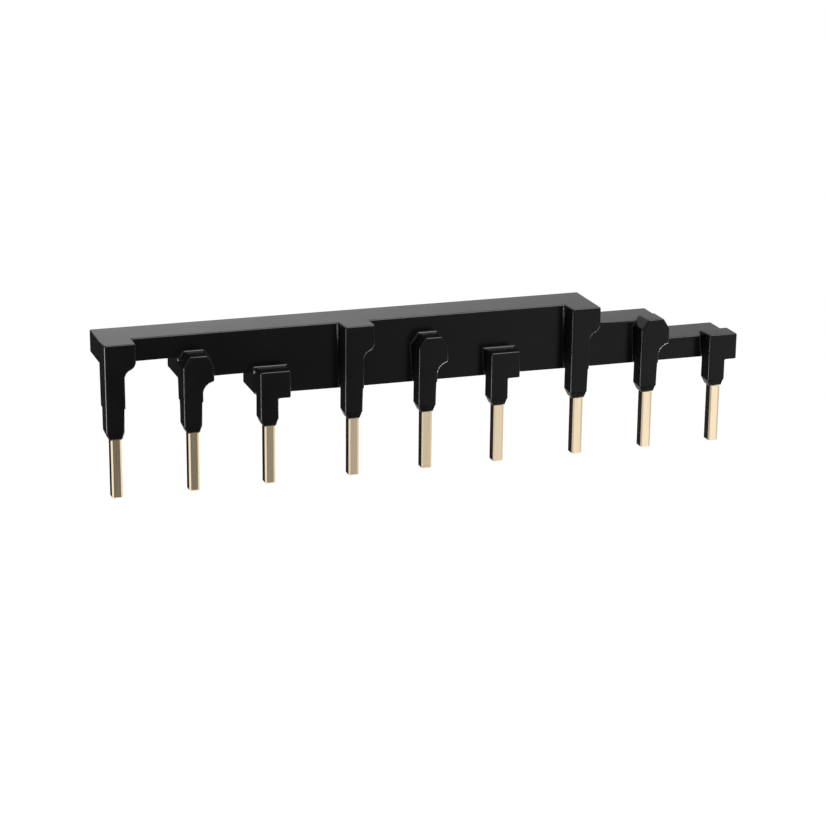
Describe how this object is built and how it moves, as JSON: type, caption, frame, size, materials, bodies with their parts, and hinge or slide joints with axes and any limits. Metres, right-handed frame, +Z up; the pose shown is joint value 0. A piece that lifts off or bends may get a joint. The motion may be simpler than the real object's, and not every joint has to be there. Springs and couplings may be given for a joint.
{
  "type": "comb busbar",
  "caption": "Three-phase comb busbar: a black moulded bar with stepped levels, sleeved taps along its front and bare flat pins below them.",
  "frame": {"origin": "middle of the bare length of the middle pin, on its flat front contact face", "axes": "+X along the row of pins towards the end where the top level stops first, +Y to the back of the bar, +Z up"},
  "size_m": [0.1248, 0.0123, 0.0293],
  "materials": {
    "housing_plastic": "black moulded polyamide with a smooth satin-gloss skin",
    "plated_copper": "stamped copper with a thin pale plating, satin, brushed along the pin"
  },
  "bodies": {
    "root": {"housing": "housing_plastic", "top_phase_comb": "plated_copper", "middle_phase_comb": "plated_copper", "bottom_phase_comb": "plated_copper"}
  },
  "joints": []
}
